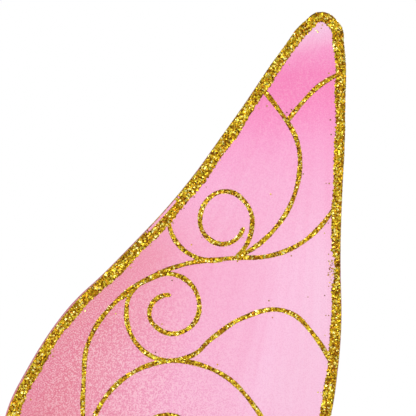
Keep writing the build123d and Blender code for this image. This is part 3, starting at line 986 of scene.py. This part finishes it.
def label_rows():
    """Closed loops round the label, from its tucked end to its free end, which curls forwards a little."""
    for step in range(LABEL_ROWS):
        share = step / (LABEL_ROWS - 1)
        z = LABEL_TOP + (LABEL_BOTTOM - LABEL_TOP) * share
        for face in (1, -1):
            for column in range(LABEL_COLUMNS):
                u = (column / (LABEL_COLUMNS - 1) * 2 - 1) * face
                curl = LABEL_CURL * max(0.0, share - 0.15) ** 2
                bow = LABEL_BOW * share * (1 - u * u) * sin(4 * share)
                yield (u * LABEL_HALF, LABEL_Y - (curl + bow) - LABEL_THICK / 2 * face, z)


label_faces = loop_faces(LABEL_ROWS, 2 * LABEL_COLUMNS)
label = new_object("care_label_ribbon", list(label_rows()), label_faces, LABEL)
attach(label, "panel")
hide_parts("care_label")

# ---- the arm loops

STRAP_X, STRAP_HALF, STRAP_THICK, STRAP_BEND = 16.0, 5.0, 1.2, 30.0
STRAP_STEP, ARC_STEPS, EASING = 0.6, 24, 9
STRAP_SWAY, STRAP_LEAN, STRAP_PINCH = 1.1, 0.22, 0.05
RIB_HEIGHT, RIB_TURNS, SECTION_POINTS = 0.10, 7, 29
LOOP_ROUTE = [(-4.35, 51.6), (-4.35, 92), (64, 84), (72, -74), (-4.35, -100), (-4.35, -51.6)]


def rounded_route(route, radius, step):
    """Points along straight runs joined by arcs, evenly spaced and eased where a run meets an arc."""
    points = [Vector(route[0])]
    for before, here, after in zip(route, route[1:], route[2:]):
        here = Vector(here)
        back, on = (Vector(before) - here).normalized(), (Vector(after) - here).normalized()
        half = back.angle(on) / 2
        centre = here + (back + on).normalized() * (radius / sin(half))
        first = here + back * (radius / tan(half)) - centre
        last = here + on * (radius / tan(half)) - centre
        sweep = first.angle_signed(last)
        for part in range(ARC_STEPS + 1):
            turn = -sweep * part / ARC_STEPS
            points.append(centre + Vector((first.x * cos(turn) - first.y * sin(turn),
                                           first.x * sin(turn) + first.y * cos(turn))))
    points.append(Vector(route[-1]))
    track = np.array([tuple(point) for point in points])
    along = distances(track)
    even = read_off(np.linspace(0, along[-1], round(along[-1] / step) + 1), along, track)
    reach = round(EASING / step)
    eased = even.copy()
    for index in range(len(even)):
        width = min(reach, index, len(even) - 1 - index)
        eased[index] = even[index - width:index + width + 1].mean(axis=0)
    return eased


def strap_section():
    """The elastic's section, with rounded edges and a rib for each rubber strand."""
    across = np.linspace(-1, 1, SECTION_POINTS)
    rib = RIB_HEIGHT * np.cos(across * pi * RIB_TURNS)
    edge = np.sqrt(np.clip(1 - (np.abs(across) - 0.9).clip(0) ** 2 * 100, 0, 1))
    half = (STRAP_THICK / 2 - RIB_HEIGHT) * edge + rib * edge
    front = [(u * STRAP_HALF, h) for u, h in zip(across, half)]
    return front + [(u, -h) for u, h in front[-2:0:-1]]


def make_arm_loop(side, name):
    """Ribbed elastic along the loop, a little wavy, as worn elastic is."""
    track = rounded_route(LOOP_ROUTE, STRAP_BEND, STRAP_STEP)
    ways = np.gradient(track, axis=0)
    ways /= np.linalg.norm(ways, axis=1, keepdims=True)
    section = strap_section()
    points = []
    for index, ((y, z), (way_y, way_z)) in enumerate(zip(track, ways)):
        share = index / (len(track) - 1)
        free = sin(pi * share)
        sway = STRAP_SWAY * free * sin(7 * share + 0.6)
        lean = STRAP_LEAN * free * sin(5 * share + 1.0)
        pinch = 1 + STRAP_PINCH * cos(index * pi)
        for u, h in section:
            h *= pinch
            out_u, out_h = u * cos(lean) - h * sin(lean), u * sin(lean) + h * cos(lean)
            points.append((STRAP_X + out_u + sway, y - way_z * out_h, z + way_y * out_h))
    return new_object(name, mirrored(side, points), loop_faces(len(track), len(section)), ELASTIC)


for side, side_name in SIDES:
    loop = make_arm_loop(side, f"{side_name}_elastic_loop")
    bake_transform(loop)
    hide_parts(f"{side_name}_arm_loop")

# ---- carried CAD nodes

CARRIED = {
    "wire": STEEL, "wire_tails": STEEL, "splice": CRIMP, "core_board": BOARD, "binding_tape": TAPE,
    "cover_stitches": THREAD, "bar_tacks": THREAD, "loop_ends": ELASTIC,
}
for name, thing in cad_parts.items():
    finish = next((shade for ending, shade in CARRIED.items() if name.endswith(ending)), None)
    if finish is not None:
        for material_slot in thing.material_slots:
            material_slot.material = finish

# ---- stage, light and camera

FLOOR_RADIUS = 2.1
FLOOR_GAP = 0.02
WORLD_LIGHT = 0.62
VIEW_CENTRE = Vector((0.1698, (WING_Y - SLEEVE_HALF) * MM, 0.2472))
VIEW_SIDE = 0.2496


def floor_paint():
    """Pale matt paint with a faint mottle."""
    n = Nodes("floor_paint")
    mottle = n.noise(n.place(), 6.0, 3.0)
    return n.set(Base_Color=n.mix(mottle, (0.80, 0.80, 0.80, 1.0), (0.84, 0.84, 0.84, 1.0)), Roughness=0.9)


def make_floor(height):
    """A round floor under the object, just too small to show behind it in the main view."""
    rim = [(FLOOR_RADIUS * cos(turn), FLOOR_RADIUS * sin(turn), height)
           for turn in np.linspace(0, 2 * pi, 96, endpoint=False)]
    mesh = bpy.data.meshes.new("floor")
    mesh.from_pydata(rim, [], [tuple(range(len(rim)))])
    mesh.materials.append(floor_paint())
    floor = in_scene("floor", mesh)


def area_light(name, place, target, size, power):
    lamp = bpy.data.lights.new(name, "AREA")
    lamp.size = size
    lamp.energy = power
    holder = in_scene(name, lamp)
    holder.location = place
    holder.rotation_euler = (Vector(target) - Vector(place)).to_track_quat("-Z", "Y").to_euler()


def make_world():
    """A white studio that lights the object less strongly than it looks."""
    world = bpy.data.worlds.new("studio")
    world.use_nodes = True
    nodes, links = world.node_tree.nodes, world.node_tree.links
    seen = nodes["Background"]
    seen.inputs["Color"].default_value = (1.0, 1.0, 1.0, 1.0)
    felt = nodes.new("ShaderNodeBackground")
    felt.inputs["Color"].default_value = (1.0, 1.0, 1.0, 1.0)
    felt.inputs["Strength"].default_value = WORLD_LIGHT
    rays = nodes.new("ShaderNodeLightPath")
    choice = nodes.new("ShaderNodeMixShader")
    links.new(rays.outputs["Is Camera Ray"], choice.inputs["Fac"])
    links.new(felt.outputs["Background"], choice.inputs[1])
    links.new(seen.outputs["Background"], choice.inputs[2])
    links.new(choice.outputs["Shader"], nodes["World Output"].inputs["Surface"])
    bpy.context.scene.world = world


middle = (cad_low + cad_high) / 2
make_floor(cad_low.z - FLOOR_GAP)
make_world()
for name, place, size, power in (
    ("key", (-0.9, -1.6, 1.3), 0.6, 14.0),
    ("fill", (1.3, -1.2, 0.5), 0.6, 7.0),
    ("sparkle", (0.5, -1.5, 0.9), 0.06, 2.0),
    ("rear_key", (0.9, 1.5, 1.1), 0.6, 13.0),
    ("rear_fill", (-1.2, 1.2, 0.4), 0.6, 6.0),
):
    area_light(name, place, middle, size, power)
bpy.context.scene.view_settings.view_transform = "Standard"

lens = bpy.data.cameras.new("camera")
lens.lens, lens.sensor_width = 120.0, 36.0
camera = in_scene("camera", lens)
camera.location = VIEW_CENTRE - Vector((0, VIEW_SIDE * lens.lens / lens.sensor_width, 0))
camera.rotation_euler = (pi / 2, 0, 0)
bpy.context.scene.camera = camera
